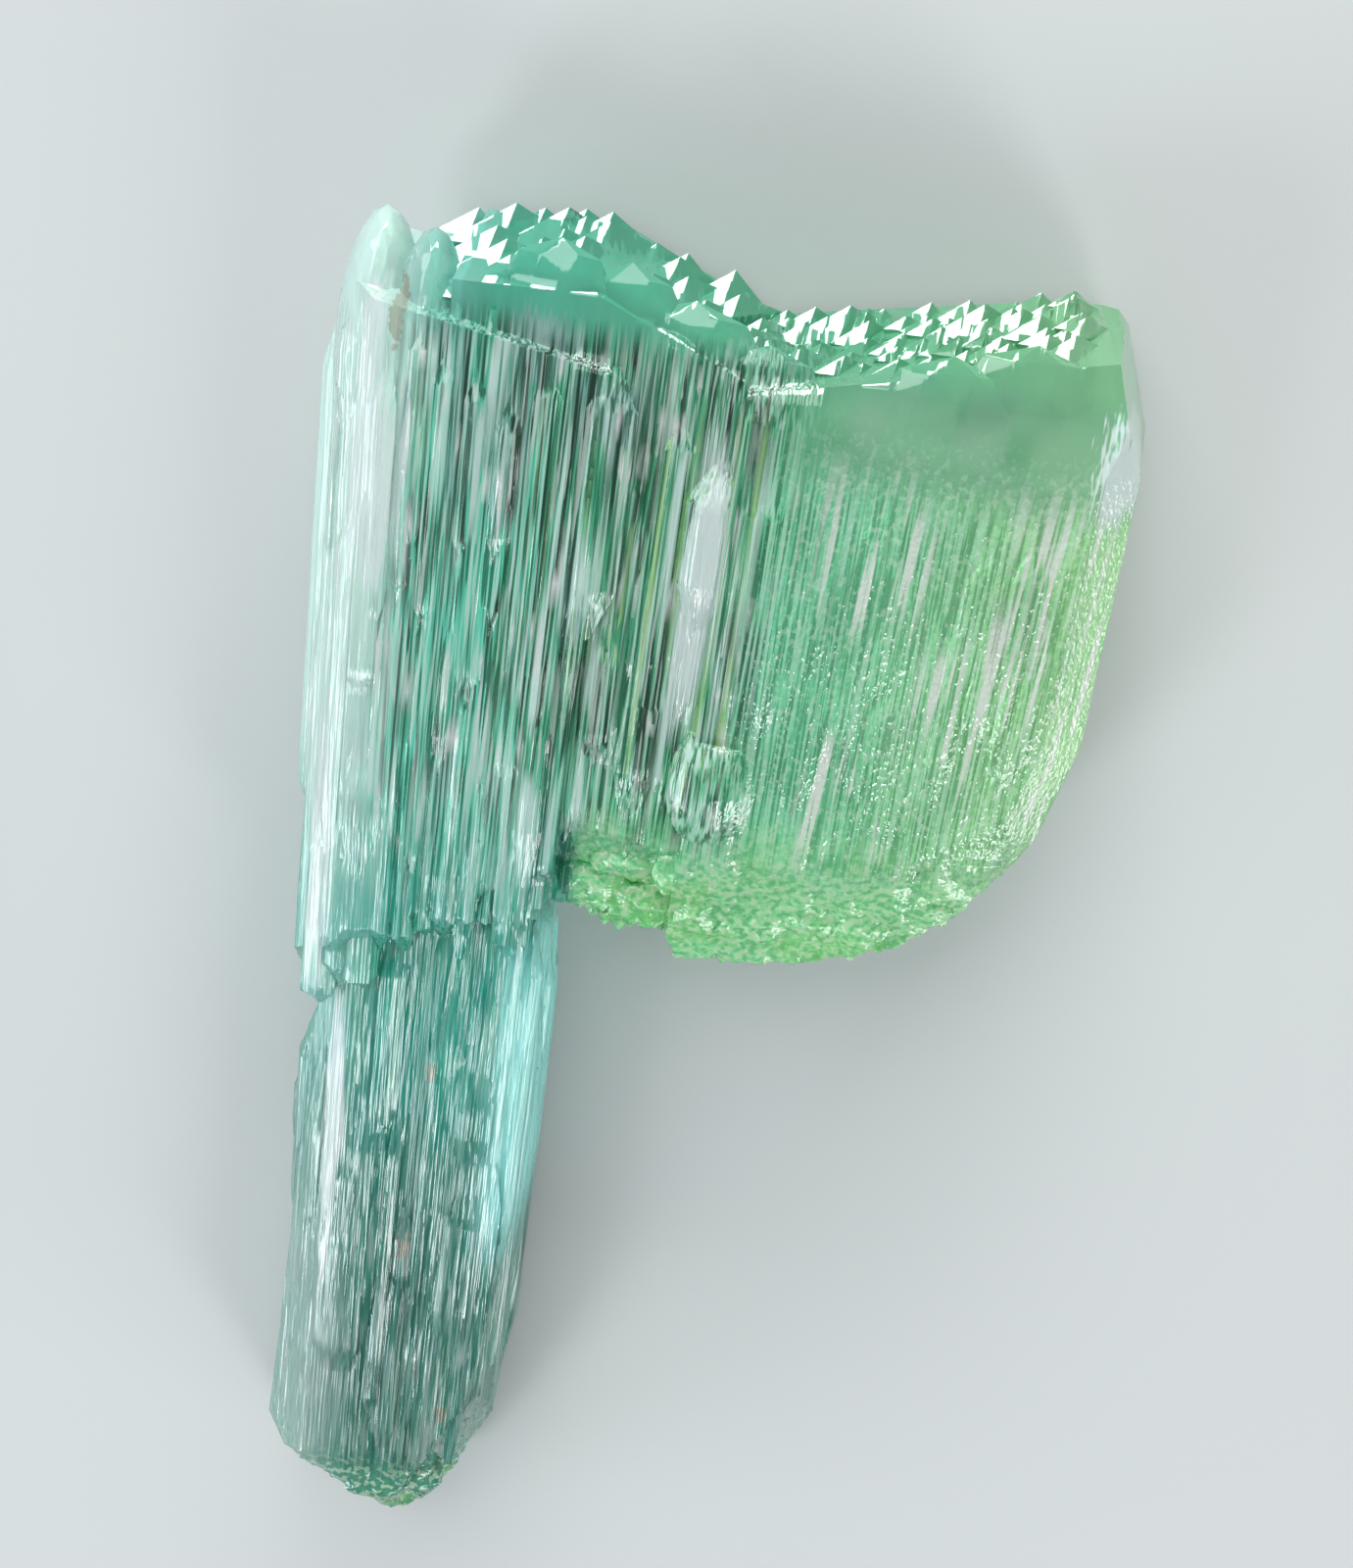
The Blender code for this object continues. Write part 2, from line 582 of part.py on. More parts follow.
def main():
    chance = random.Random(SEED)
    clear_scene()
    crystal = make_collection("crystal")
    growth = make_collection("growth")
    cutters = make_collection("cutters")

    body = make_bar(crystal)
    body.name = NAME
    body.data.materials.append(crystal_material())

    make_overgrowth(growth)
    make_shoulder(growth)
    make_blade(growth, chance)
    front_ridges(growth, chance)
    side_ridges(growth, chance)
    end_ridges(growth, chance)
    long_facet(growth)
    back_ridges(growth, chance)
    crown(growth, chance)
    chisel_top(growth)
    front_swells(growth, chance)
    lower_rim(growth, chance)
    etched_foot(growth, chance)
    knob(growth)
    for obj in growth.objects:
        obj.display_type = "WIRE"
        obj.hide_render = True

    grown = body.modifiers.new("grown_together", "BOOLEAN")
    grown.operation = "UNION"
    grown.operand_type = "COLLECTION"
    grown.collection = growth
    flat = body.modifiers.new("resting_level", "BOOLEAN")
    flat.operation = "DIFFERENCE"
    flat.object = bench(cutters)


main()
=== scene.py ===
import itertools
import math
import random

import bpy
import numpy as np
from mathutils import Matrix, Vector


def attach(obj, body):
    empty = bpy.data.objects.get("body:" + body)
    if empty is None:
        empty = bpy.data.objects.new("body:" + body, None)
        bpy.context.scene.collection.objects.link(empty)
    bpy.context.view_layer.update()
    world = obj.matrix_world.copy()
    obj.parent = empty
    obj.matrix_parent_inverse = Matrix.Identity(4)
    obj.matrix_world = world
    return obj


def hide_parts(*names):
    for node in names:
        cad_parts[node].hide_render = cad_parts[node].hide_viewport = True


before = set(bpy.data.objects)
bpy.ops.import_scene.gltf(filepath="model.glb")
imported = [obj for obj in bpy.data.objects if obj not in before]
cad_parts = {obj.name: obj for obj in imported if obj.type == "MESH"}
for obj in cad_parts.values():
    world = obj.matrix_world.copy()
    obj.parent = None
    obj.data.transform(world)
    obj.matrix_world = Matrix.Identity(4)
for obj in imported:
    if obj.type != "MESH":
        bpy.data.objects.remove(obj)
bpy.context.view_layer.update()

MM = 0.001
SEED = 17

# Places on the crystal, in mm: its long axis is Y, its width X and its thickness Z
FOOT_END_Y = -43.2
BROKEN_FOOT_Y = -34.0
BLADE_FOOT_Y = 4.5
SHAFT_TOP_Y = 5.0
FOOT_BAND_TOP = 12.6
ETCHED_ROWS_TOP = 13.5
SMOOTH_TOP_Y = 34.5
PEAKS_Y = 39.0
TOP_END_Y = 43.2
LEFT_SIDE_X = -20.9
PEAKS_LEFT_X = -13.5
BAR_RIGHT = -5.0
RIGHT_SIDE_X = 21.0
SIDE_LINES_FROM_Z = 0.6
SIDE_LINES_TO_Z = 12.0
FRONT_Z = 3.0
RESTING_Z = 0.12

# Stretches in mm over which a zone fades in, from its first value to its second
BAR_X = (5.0, 0.0)
BLADE_X = (1.0, 5.0)
BEVEL_X = (-14.2, -17.6)
RIGHT_EDGE_X = (16.5, 18.5)
GREEN_X = (-14.0, 3.0)
YELLOW_X = (3.0, 19.5)
DULL_SHAFT_Y = (-2.0, -12.0)
CYAN_EDGE_X = (-8.8, -7.2)
CYAN_EDGE_Y = (-20.0, -12.0)
FOOT_GLOW_Y = (18.0, 9.0)
LEFT_PEAK_X = (-12.0, -14.5)
LEFT_PEAK_Y = (34.0, 38.5)
HEAD_X = (PEAKS_LEFT_X, -11.0)
SMOOTH_TOP_X = (2.0, 6.0)
STREAKED_X = (3.0, 6.5)

# Bands in mm: a zone starts at the first value, is full between the middle two and ends at the last
VALLEY_X = (-10.0, -6.0, 0.5, 3.5)
VALLEY_Y = (14.0, 20.0, 35.0, 37.5)
HEAD_Y = (32.5, 35.0, PEAKS_Y - 1.5, PEAKS_Y + 0.5)
TEAL_Y = (-24.0, -6.0, 5.0, 17.0)
SMOOTH_TOP_BAND_Y = (33.0, 35.5, 37.5, 39.5)
STREAKED_Y = (FOOT_BAND_TOP - 0.5, FOOT_BAND_TOP + 2.5, SMOOTH_TOP_Y - 2.5, SMOOTH_TOP_Y + 1.5)

# Cleavage faces with painted white reflections, where they would mirror the lamps: x, y, half width and half
# length of each in mm
LEFT_BEVEL_SHINE = (-16.9, 30.4, 1.3, 4.6)
LEFT_PEAK_SHINE = (-17.5, 37.0, 0.6, 2.6)
LONG_FACET = (-0.5, 27.4, 0.9, 6.6)
RIGHT_JAGGED_SHINE = (18.7, 36.0, 1.2, 2.3)
BAR_FOOT_SHINE = (-18.6, 9.0, 0.7, 7.0)
SHAFT_LEFT_SHINE = (-17.0, -9.0, 0.6, 8.0)
SHINING_FACES = (
    LEFT_BEVEL_SHINE, LEFT_PEAK_SHINE, LONG_FACET, RIGHT_JAGGED_SHINE, BAR_FOOT_SHINE, SHAFT_LEFT_SHINE
)

# Facets of the bar that look lilac-grey, given in the same way
DOME_FACET = (-9.6, 38.0, 1.5, 1.5)
KITE_FACET = (-10.5, 33.0, 1.0, 3.4)
LEFT_LILAC_FACET = (-12.9, 33.0, 0.9, 2.8)
VALLEY_HEAD_FACET = (-5.4, 35.4, 1.4, 1.4)
SHAFT_LILAC_FACET = (-8.8, -3.5, 0.7, 3.6)
LILAC_FACETS = (DOME_FACET, KITE_FACET, LEFT_LILAC_FACET, VALLEY_HEAD_FACET, SHAFT_LILAC_FACET)

# Rust-brown stains, given in the same way
SHAFT_HEAD_STAIN = (-11.5, -3.8, 0.3, 0.5)
SHAFT_MIDDLE_STAIN = (-12.2, -16.4, 0.4, 0.7)
LEFT_PEAK_STAIN = (-16.3, 38.6, 0.3, 1.4)
SHAFT_FOOT_STAIN = (-8.9, -29.0, 0.4, 0.5)
RUST_STAINS = (SHAFT_HEAD_STAIN, SHAFT_MIDDLE_STAIN, LEFT_PEAK_STAIN, SHAFT_FOOT_STAIN)

# How finely the surface is cut for its growth lines, in mm, and how uneven the gaps are as shares of these
LINE_SPACING = 0.19
BACK_LINE_SPACING = 0.5
SIDE_LINE_SPACING = 0.42
ROW_SPACING = 1.1
ETCHED_ROW_SPACING = 0.3
LEAST_GAP = 0.55
MOST_GAP = 1.45
CUT_TOLERANCE = 0.001

# The solid's own mesh: corners this close in mm are one corner, and faces this close in degrees are one face
MERGE_DISTANCE = 0.01
FLAT_ANGLE = 0.6

# Edges flatter than this, in degrees, are shaded smooth
SMOOTH_ANGLE = 24.0

# Which way a face looks, by the parts of its normal
FRONT_NORMAL_Z = -0.2
STEEP_NORMAL_Z = 0.55
ACROSS_NORMAL_Y = 0.6
RESTING_NORMAL_Z = -0.5

# A random field's table, and the primes that scatter its cells over the table
TABLE_SIZE = 8192
CELL_PRIMES = (1619, 31337, 6971)

# Relief: how deep each layer is in mm, the size of one line or pit in mm, and its seed
GROWTH_LINES = ((0.040, (0.62, 13.0, 0.8), 1), (0.055, (0.17, 7.0, 0.25), 2), (0.020, (0.12, 3.0, 0.2), 3))
ETCHED_PITS = ((0.20, (0.9, 0.8, 0.9), 4), (0.13, (0.4, 0.36, 0.4), 5))
FOOT_BAND_WANDER = ((1.3, (1.8, 9.0, 2.0), 6),)

# Heights from 0 to 1: what a flat place has, and over how many mm they run
FLAT_HEIGHT = 0.5
RELIEF_RANGE = 0.16

# How much fainter the lines are on the blade and at its right edge
BLADE_FAINTER = 0.4
RIGHT_EDGE_FAINTER = 0.8

# Random streaks: the size of one in mm, the value it fades in from, the value it is full at, its seed and
# its lean in degrees
STREAKS = {
    "deep_breaks": ((0.9, 4.0, 0.9), -0.40, 0.0, 12, 0.0),
    "deep_shards": ((0.9, 6.5, 1.2), 0.20, 0.45, 13, 0.0),
    "blade_shade": ((2.0, 4.5, 2.0), 0.10, 0.50, 14, 3.0),
    "pale": ((0.7, 4.5, 0.7), -0.10, 0.25, 16, 0.0),
    "glints": ((0.24, 2.2, 0.4), 0.55, 0.75, 17, 0.0),
    "blade_breaks": ((2.2, 6.0, 3.0), -0.40, 0.0, 19, 2.0),
    "lilac_shards": ((1.1, 5.0, 1.4), 0.35, 0.55, 20, 0.0),
    "lime": ((0.22, 26.0, 0.4), 0.40, 0.60, 21, 0.0),
    "silky": ((1.2, 16.0, 2.0), -0.10, 0.40, 22, 0.0),
    "clouds": ((2.6, 2.4, 2.6), 0.05, 0.45, 23, 20.0),
    "frost": ((1.5, 2.6, 1.6), 0.25, 0.55, 24, 12.0),
}

# How strong each kind of shade and the lilac shards are, from 0 to 1
VALLEY_SHADE = 0.65
HEAD_SHADE = 0.55
SHARD_SHADE = 0.6
BLADE_SHADE = 0.25
LILAC_SHARDS = 0.55

# How much weaker the deep lines are on the bevel, and the pale lines on the shaft
DEEP_LOSS_ON_BEVEL = 0.5
PALE_LOSS_ON_SHAFT = 0.7

# The heights at which the painted shade in the troughs and the painted highlight on the crests fade in
SHADED_TROUGHS = (0.44, 0.20)
LIT_CRESTS = (0.60, 0.85)

# Fine patterns in the finish: the size of one cell in mm, its lean in degrees, and the values that its high
# lines are above and its low lines below
FINE_PATTERNS = {
    "lines": ((0.14, 6.0, 0.3), 0.0, 0.52, 0.46),
    "long_lines": ((0.32, 26.0, 0.5), 0.0, 0.515, 0.46),
    "blade_lines": ((0.40, 11.0, 0.8), 2.0, 0.56, 0.38),
    "grain": ((0.26, 0.36, 0.26), 0.0, 0.54, 0.44),
    "crumbs": ((0.42, 0.38, 0.42), 0.0, 0.52, 0.46),
}
PATTERN_EDGE = 0.07

# Zones whose edges a fine pattern makes ragged
RAGGED_ZONES = (("lilac", "lines"), ("shining", "lines"), ("rust", "crumbs"))
RAGGED_EDGE = (0.88, 1.02)

# The stone's colour, with painted highlights, reflections and shade among its layers: each layer's colour and
# strength, and the zones and patterns that it is limited to
SHAFT_TINT = "#6ceccc"
BODY_LAYERS = (
    ("#84ecb8", 1.0, "green"),
    ("#c2ffb2", 1.0, "yellow"),
    ("#90ffa8", 0.6, "foot_glow"),
    ("#d8fbe0", 0.7, "smooth_top"),
    ("#62a878", 0.5, "smooth_top", "clouds"),
    ("#dcf8e4", 0.45, "smooth_top", "frost"),
    ("#389682", 0.8, "dull"),
    ("#4c9c84", 0.55, "peaked"),
    ("#8cc6c0", 0.7, "left_peak"),
    ("#28925e", 1.0, "shade"),
    ("#a9c4c8", 0.6, "ragged_lilac"),
    # Painted shade: the troughs of the growth lines darkened
    ("#1c7452", 0.5, "shaded_troughs"),
    ("#0e5c3e", 0.8, "high_lines", "lined"),
    ("#043a28", 1.0, "high_long_lines", "deep"),
    ("#6cb88c", 0.25, "high_grain", "grained"),
    ("#eafce8", 0.35, "low_grain", "grained"),
    ("#c4f4a0", 0.85, "lime"),
    # Painted sheen: the left bevel whitened where it mirrors the left lamp
    ("#eafffc", 0.85, "bevel"),
    # Painted highlight: the crests of the growth lines lightened
    ("#e6fbee", 0.6, "lit_crests"),
    ("#eafff6", 0.6, "low_lines", "lined"),
    # Partly painted highlights: the pale long lines whitened where the ridges would catch the light
    ("#e4fff8", 1.0, "low_long_lines", "pale"),
    ("#ffffff", 0.9, "glints"),
    ("#08b09c", 0.7, "teal"),
    ("#267a6c", 0.55, "dull"),
    # Painted reflection: the shaft's right bevel whitened in its cyan tint, where it would mirror the right
    # lamp
    ("#b0fffa", 0.85, "cyan_edge_reflection"),
    # Partly painted highlights: the blade's pale streaks whitened where its ridges would catch the light
    ("#fbfff6", 1.0, "high_blade_lines", "blade_breaks"),
    ("#4fa673", 0.5, "low_blade_lines", "blade_breaks"),
    # Painted reflections: the shining cleavage faces whitened
    ("#f4ffff", 1.0, "ragged_shining"),
    ("#a3764a", 0.5, "ragged_rust"),
    ("#b4fcac", 0.5, "etched", "foot_glow"),
    ("#4fb47c", 0.55, "low_crumbs", "etched"),
    ("#8fe06c", 0.4, "clouds", "etched"),
    ("#ecffdc", 0.6, "high_crumbs", "etched"),
)

# The finish: glassy everywhere, with its own roughness and fine relief in some zones
SPODUMENE_IOR = 1.66
TRANSMISSION = 0.5
GLASSY_ROUGHNESS = 0.10
ROUGHNESS_LAYERS = ((0.26, "silky"), (0.24, "etched"), (0.07, "peaked"))
HEIGHT_LAYERS = (("lines", "lined"), ("grain", "grained"), ("crumbs", "etched"))
FINE_RELIEF_DEPTH = 0.15
FINE_RELIEF_STRENGTH = 0.7
STONE_TINT = "#9ce8cc"
STONE_DENSITY = 30.0

# The studio, in metres. Softboxes: direction, distance, width, height, radiance and tint
FLOOR_SIZE = 1.6
FLOOR_DROP = 0.2
FLOOR_COLOUR = "#c6c9c8"
FLOOR_SHEEN = 0.1
ROOM_COLOUR = "#e6eef4"
ROOM_STRENGTH = 0.42
SOFTBOXES = {
    "box_behind_peaks": ((0.0, 0.97, 0.24), 0.5, 0.30, 0.13, 16.0, "#ffffff"),
    "box_right": ((0.88, -0.46, 0.17), 0.5, 0.30, 0.16, 6.0, "#ffffff"),
    "box_left": ((-0.93, -0.33, 0.17), 0.5, 0.30, 0.16, 8.0, "#f2faff"),
    "box_overhead": ((-0.3, 0.72, 0.62), 0.6, 0.40, 0.40, 3.4, "#ffffff"),
    "box_low_right": ((0.58, -0.60, 0.55), 0.5, 0.11, 0.20, 11.0, "#ffffff"),
    "box_low_left": ((-0.58, -0.60, 0.55), 0.5, 0.11, 0.20, 11.0, "#f2faff"),
}

# The camera: degrees off the front face, degrees of roll, and mm
CAMERA_TILT = 25.0
CAMERA_ROLL = 8.5
CAMERA_TARGET = (-0.18, 14.49, 6.3)
CAMERA_DISTANCE = 106.2
CAMERA_LENS = 45.0


def start_from_solid(name):
    """A copy of the solid's mesh as a new piece, its corners merged and its flat faces whole again."""
    bpy.ops.object.select_all(action="DESELECT")
    piece = bpy.data.objects.new(name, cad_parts["kunzite_crystal"].data.copy())
    bpy.context.scene.collection.objects.link(piece)
    bpy.context.view_layer.objects.active = piece
    piece.select_set(True)
    bpy.ops.object.mode_set(mode="EDIT")
    bpy.ops.mesh.select_mode(type="FACE")
    bpy.ops.mesh.select_all(action="SELECT")
    bpy.ops.mesh.remove_doubles(threshold=MERGE_DISTANCE * MM)
    bpy.ops.mesh.dissolve_limited(angle_limit=math.radians(FLAT_ANGLE))
    bpy.ops.object.mode_set(mode="OBJECT")
    return piece


def jittered(low, high, spacing, chance):
    """Places from low to high, unevenly spaced as growth lines are."""
    places = []
    place = low + spacing * chance.random()
    while place < high:
        places.append(place)
        place += spacing * chance.uniform(LEAST_GAP, MOST_GAP)
    return places


def face_values(piece):
    """Every face's normal and middle, the middles in mm, each as the three arrays x, y and z."""
    count = len(piece.data.polygons)
    normals = np.zeros(count * 3)
    middles = np.zeros(count * 3)
    piece.data.polygons.foreach_get("normal", normals)
    piece.data.polygons.foreach_get("center", middles)
    return normals.reshape(-1, 3).T, middles.reshape(-1, 3).T / MM


def slice_faces(piece, chosen, axis, places):
    """Cuts the chosen faces along planes across an axis, so that their surface can carry fine lines."""
    direction = [0.0, 0.0, 0.0]
    direction[axis] = 1.0
    piece.data.polygons.foreach_set("hide", ~chosen)
    bpy.ops.object.mode_set(mode="EDIT")
    for place in places:
        point = Vector(direction) * place * MM
        bpy.ops.mesh.select_all(action="SELECT")
        bpy.ops.mesh.bisect(plane_co=point, plane_no=direction, threshold=CUT_TOLERANCE * MM)
    bpy.ops.mesh.reveal(select=False)
    bpy.ops.object.mode_set(mode="OBJECT")


def cut_for_lines(piece):
    """Cuts the whole surface finely across its growth lines and coarsely along them."""
    chance = random.Random(SEED)
    everywhere = np.ones(len(piece.data.polygons), bool)
    slice_faces(piece, everywhere, 1, jittered(FOOT_END_Y, TOP_END_Y, ROW_SPACING, chance))
    normals, middles = face_values(piece)
    x, y = middles[:2]
    etched = (y > BLADE_FOOT_Y) & (y < ETCHED_ROWS_TOP) & (x > BAR_RIGHT)
    etched |= y < BROKEN_FOOT_Y
    etched &= normals[2] > FRONT_NORMAL_Z
    slice_faces(piece, etched, 1, jittered(FOOT_END_Y, ETCHED_ROWS_TOP, ETCHED_ROW_SPACING, chance))
    normals = face_values(piece)[0]
    steep = (np.abs(normals[2]) < STEEP_NORMAL_Z) & (np.abs(normals[1]) < ACROSS_NORMAL_Y)
    slice_faces(piece, steep, 2, jittered(SIDE_LINES_FROM_Z, SIDE_LINES_TO_Z, SIDE_LINE_SPACING, chance))
    normals = face_values(piece)[0]
    at_back = normals[2] <= FRONT_NORMAL_Z
    slice_faces(piece, at_back, 0, jittered(LEFT_SIDE_X, RIGHT_SIDE_X, BACK_LINE_SPACING, chance))
    normals = face_values(piece)[0]
    in_front = normals[2] > FRONT_NORMAL_Z
    slice_faces(piece, in_front, 0, jittered(LEFT_SIDE_X, RIGHT_SIDE_X, LINE_SPACING, chance))


def eased(share):
    """A share from 0 to 1 that starts and ends gently."""
    return share * share * (3.0 - 2.0 * share)


def random_field(points, cell, seed):
    """Smooth random values from -1 to 1 at points in mm, each cell of the given size with its own value."""
    table = np.random.default_rng(seed).uniform(-1.0, 1.0, TABLE_SIZE)
    scaled = points / np.array(cell)
    base = np.floor(scaled).astype(np.int64)
    share = eased(scaled - base)
    total = np.zeros(len(points))
    for corner in itertools.product((0, 1), repeat=3):
        place = base + np.array(corner)
        key = (place @ np.array(CELL_PRIMES)) % TABLE_SIZE
        weight = np.prod(np.where(np.array(corner) == 1, share, 1.0 - share), axis=1)
        total += table[key] * weight
    return total


def layered(places, layers):
    """The sum of random layers, each with its depth, its size and its seed."""
    return sum(depth * random_field(places, size, seed) for depth, size, seed in layers)


def ramp(values, low, high):
    """0 below low and 1 above high, smooth between them; the other way round where low is above high."""
    return eased(np.clip((values - low) / (high - low), 0.0, 1.0))


def band(values, start, full, still_full, end):
    """1 from full to still_full, falling to 0 at start and at end."""
    return ramp(values, start, full) * ramp(values, end, still_full)


def near_places(points, ovals):
    """1 in the middle of each oval place on the front, falling to 0 at twice its half sizes."""
    x, y, z = points.T
    nearest = np.full(len(points), np.inf)
    for middle_x, middle_y, half_width, half_length in ovals:
        nearest = np.minimum(nearest, np.hypot((x - middle_x) / half_width, (y - middle_y) / half_length))
    return np.clip(1.0 - nearest / 2.0, 0.0, 1.0) * (z > FRONT_Z)


def streaks(places, size, low, high, seed, lean):
    """Random streaks of a size in mm: 0 where they are at low and 1 where they are at high."""
    leaning = places.copy()
    leaning[:, 0] -= places[:, 1] * math.tan(math.radians(lean))
    return ramp(random_field(leaning, size, seed), low, high)


def line_strength(places):
    """How strongly each place is lined, from 0 on the etched and smooth parts to 1 on the bar and valley."""
    x, y = places.T[:2]
    on_blade = ramp(x, *BLADE_X)
    strength = 1.0 - BLADE_FAINTER * on_blade
    strength = strength * ramp(y, PEAKS_Y + 0.8, PEAKS_Y - 1.4)
    strength = strength * (1.0 - on_blade * ramp(y, SMOOTH_TOP_Y - 2.0, SMOOTH_TOP_Y + 0.5))
    strength = strength * (1.0 - RIGHT_EDGE_FAINTER * ramp(x, *RIGHT_EDGE_X))
    wandering_y = y + layered(places, FOOT_BAND_WANDER)
    above_foot_band = ramp(wandering_y, FOOT_BAND_TOP - 2.0, FOOT_BAND_TOP + 2.6)
    right_of_bar = ramp(x, BAR_RIGHT - 0.5, BAR_RIGHT + 0.5)
    strength = strength * (1.0 - right_of_bar * (1.0 - above_foot_band))
    return strength * ramp(y, BROKEN_FOOT_Y - 2.0, BROKEN_FOOT_Y + 1.5)


def tint_zones(places, lined, height):
    """Where each tint of the crystal lies, and each painted highlight, reflection and shade, as values from 0
    to 1.
    """
    x, y = places.T[:2]
    streaked = {name: streaks(places, *values) for name, values in STREAKS.items()}
    bar = ramp(x, *BAR_X)
    bevel = ramp(x, *BEVEL_X)
    right_of_bar = ramp(x, BAR_RIGHT - 0.6, BAR_RIGHT + 0.6)
    on_shaft = ramp(y, SHAFT_TOP_Y + 1.5, SHAFT_TOP_Y - 1.5) * (1.0 - right_of_bar)
    valley = band(x, *VALLEY_X) * band(y, *VALLEY_Y)
    head = band(y, *HEAD_Y) * ramp(x, *HEAD_X)
    shards = streaked["deep_shards"] * lined * bar * (1.0 - bevel)
    blade_shade = streaked["blade_shade"] * (1.0 - bar)
    lilac_shards = streaked["lilac_shards"] * lined * bar
    all_shades = [VALLEY_SHADE * valley, HEAD_SHADE * head, SHARD_SHADE * shards, BLADE_SHADE * blade_shade]
    # Pale lines, whitened in part as painted highlights, and the whole bevel as painted sheen
    pale = np.maximum(streaked["pale"], bevel) * lined * bar
    return {
        "green": ramp(x, *GREEN_X),
        "yellow": ramp(x, *YELLOW_X),
        "teal": band(y, *TEAL_Y) * (1.0 - right_of_bar),
        "dull": on_shaft * ramp(y, *DULL_SHAFT_Y),
        # Painted reflection on the shaft's right bevel
        "cyan_edge_reflection": on_shaft * ramp(x, *CYAN_EDGE_X) * ramp(y, *CYAN_EDGE_Y),
        "deep": streaked["deep_breaks"] * lined * bar * (1.0 - DEEP_LOSS_ON_BEVEL * bevel),
        # Painted shade in the troughs and painted highlight on the crests, by the height of the relief
        "shaded_troughs": ramp(height, *SHADED_TROUGHS) * lined,
        "lit_crests": ramp(height, *LIT_CRESTS) * lined,
        "glints": streaked["glints"] * lined * bar,
        "shade": np.maximum.reduce(all_shades),
        "lime": streaked["lime"] * valley,
        "foot_glow": ramp(y, *FOOT_GLOW_Y) * right_of_bar,
        "pale": pale * (1.0 - PALE_LOSS_ON_SHAFT * on_shaft),
        "blade_breaks": streaked["blade_breaks"] * ramp(x, *STREAKED_X) * band(y, *STREAKED_Y),
        "grained": (1.0 - bar) * ramp(y, SMOOTH_TOP_Y + 3.0, SMOOTH_TOP_Y - 1.0),
        "smooth_top": ramp(x, *SMOOTH_TOP_X) * band(y, *SMOOTH_TOP_BAND_Y),
        "clouds": streaked["clouds"],
        "frost": streaked["frost"],
        "left_peak": ramp(y, *LEFT_PEAK_Y) * ramp(x, *LEFT_PEAK_X),
        "bevel": bevel,
        "silky": streaked["silky"] * lined,
        "lilac": np.maximum(near_places(places, LILAC_FACETS), LILAC_SHARDS * lilac_shards),
        "shining": near_places(places, SHINING_FACES),
        "rust": near_places(places, RUST_STAINS),
    }


def grow_lines(piece):
    """Moves the surface in and out along its normals, and keeps every zone as an attribute of the piece."""
    count = len(piece.data.vertices)
    places = np.zeros(count * 3)
    normals = np.zeros(count * 3)
    piece.data.vertices.foreach_get("co", places)
    piece.data.vertices.foreach_get("normal", normals)
    places = places.reshape(-1, 3) / MM
    normals = normals.reshape(-1, 3)
    x, y, z = places.T
    lined = line_strength(places)
    peaked = ramp(y, PEAKS_Y - 1.8, PEAKS_Y - 0.2) * (x > PEAKS_LEFT_X)
    etched = (1.0 - lined) * (1.0 - ramp(y, FOOT_BAND_TOP + 1.0, FOOT_BAND_TOP + 3.5))
    moved = layered(places, GROWTH_LINES) * lined + layered(places, ETCHED_PITS) * etched
    resting = (z < RESTING_Z) & (normals[:, 2] < RESTING_NORMAL_Z)
    moved = np.where(resting, 0.0, moved)
    places = places + normals * moved[:, None]
    piece.data.vertices.foreach_set("co", (places * MM).ravel())
    piece.data.update()
    zones = tint_zones(places, lined, FLAT_HEIGHT + moved / RELIEF_RANGE)
    zones.update({"lined": lined, "peaked": peaked, "etched": etched})
    for name, values in zones.items():
        piece.data.attributes.new(name, "FLOAT", "POINT").data.foreach_set("value", values)
    return list(zones)


def colour(code):
    """An sRGB hex colour as the linear values that Blender wants."""
    parts = [int(code[i : i + 2], 16) / 255.0 for i in (1, 3, 5)]
    linear = [c / 12.92 if c <= 0.04045 else ((c + 0.055) / 1.055) ** 2.4 for c in parts]
    return (*linear, 1.0)


def add_node(tree, kind, settings=None, links=None):
    """Adds a node. A setting is a socket's value or the node's own property, and a link is socket: source."""
    node = tree.nodes.new(kind)
    for name, value in (settings or {}).items():
        if isinstance(name, int) or name in node.inputs:
            node.inputs[name].default_value = value
        else:
            setattr(node, name, value)
    for name, source in (links or {}).items():
        tree.links.new(source, node.inputs[name])
    return node


def fine_noise(tree, in_mm, size, lean):
    """Random values around a half, their cells of a size in mm, leaning by some degrees."""
    stretch = {"vector_type": "TEXTURE", "Scale": size, "Rotation": (0.0, 0.0, -math.radians(lean))}
    mapping = add_node(tree, "ShaderNodeMapping", stretch, {"Vector": in_mm})
    noise = {"Scale": 1.0, "Detail": 1.0}
    return add_node(tree, "ShaderNodeTexNoise", noise, {"Vector": mapping.outputs["Vector"]}).outputs["Fac"]


def above_and_below(tree, source, high, low):
    """Two shares of a value: 1 where it is well above high, and 1 where it is well below low."""
    shares = []
    for start, end in ((high, high + PATTERN_EDGE), (low, low - PATTERN_EDGE)):
        ends = {"From Min": start, "From Max": end}
        shares.append(add_node(tree, "ShaderNodeMapRange", ends, {"Value": source}).outputs["Result"])
    return shares


def ragged(tree, zone, noise):
    """A zone with a ragged edge instead of a soft one."""
    both = add_node(tree, "ShaderNodeMath", {"operation": "ADD"}, {0: zone, 1: noise}).outputs[0]
    ends = {"From Min": RAGGED_EDGE[0], "From Max": RAGGED_EDGE[1]}
    return add_node(tree, "ShaderNodeMapRange", ends, {"Value": both}).outputs["Result"]


